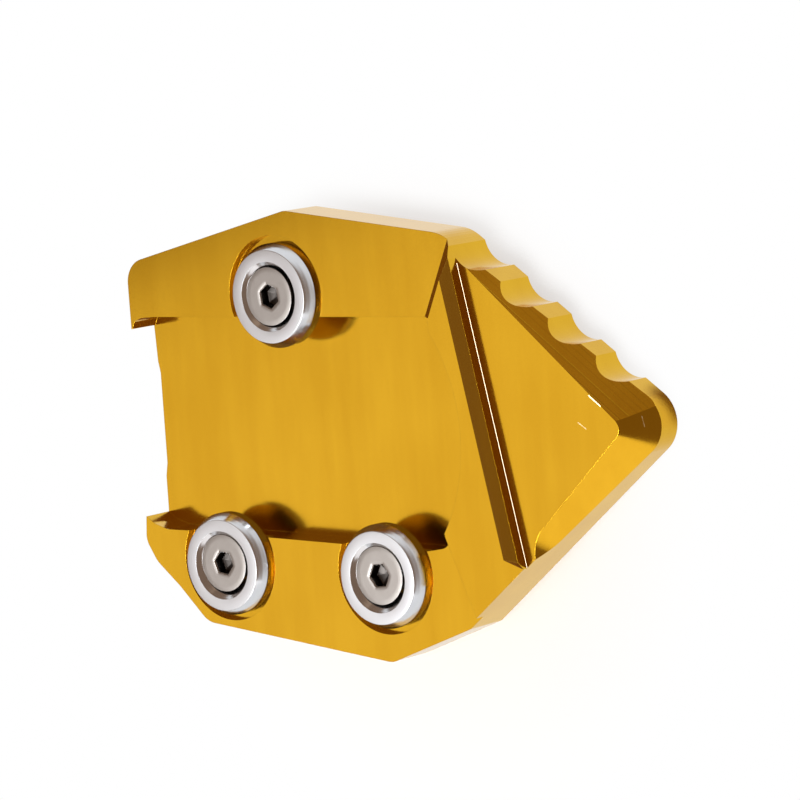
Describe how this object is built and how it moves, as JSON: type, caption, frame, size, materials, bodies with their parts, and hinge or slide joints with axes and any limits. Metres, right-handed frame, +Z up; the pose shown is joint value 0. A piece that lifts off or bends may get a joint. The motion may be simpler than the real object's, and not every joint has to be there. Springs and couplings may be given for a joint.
{
  "type": "kickstand foot enlarger",
  "caption": "Milled plate that widens a motorcycle side stand's foot: a pocket takes the foot, cup washers on countersunk screws clamp its edge, with a ridged, scalloped point.",
  "frame": {"origin": "middle of the sole's bounding box, on the face that rests on the ground", "axes": "+Z up out of the pocket, +X along the single rail towards the pointed end, +Y from the double rail to the single rail"},
  "size_m": [0.1262, 0.0872, 0.0127],
  "materials": {
    "plate": "milled and gold anodised",
    "washer": "turned",
    "screw": "plain stainless"
  },
  "bodies": {
    "root": {"plate": "plate", "washer_single": "washer", "washer_left": "washer", "washer_right": "washer", "screw_single": "screw", "screw_left": "screw", "screw_right": "screw"}
  },
  "joints": []
}
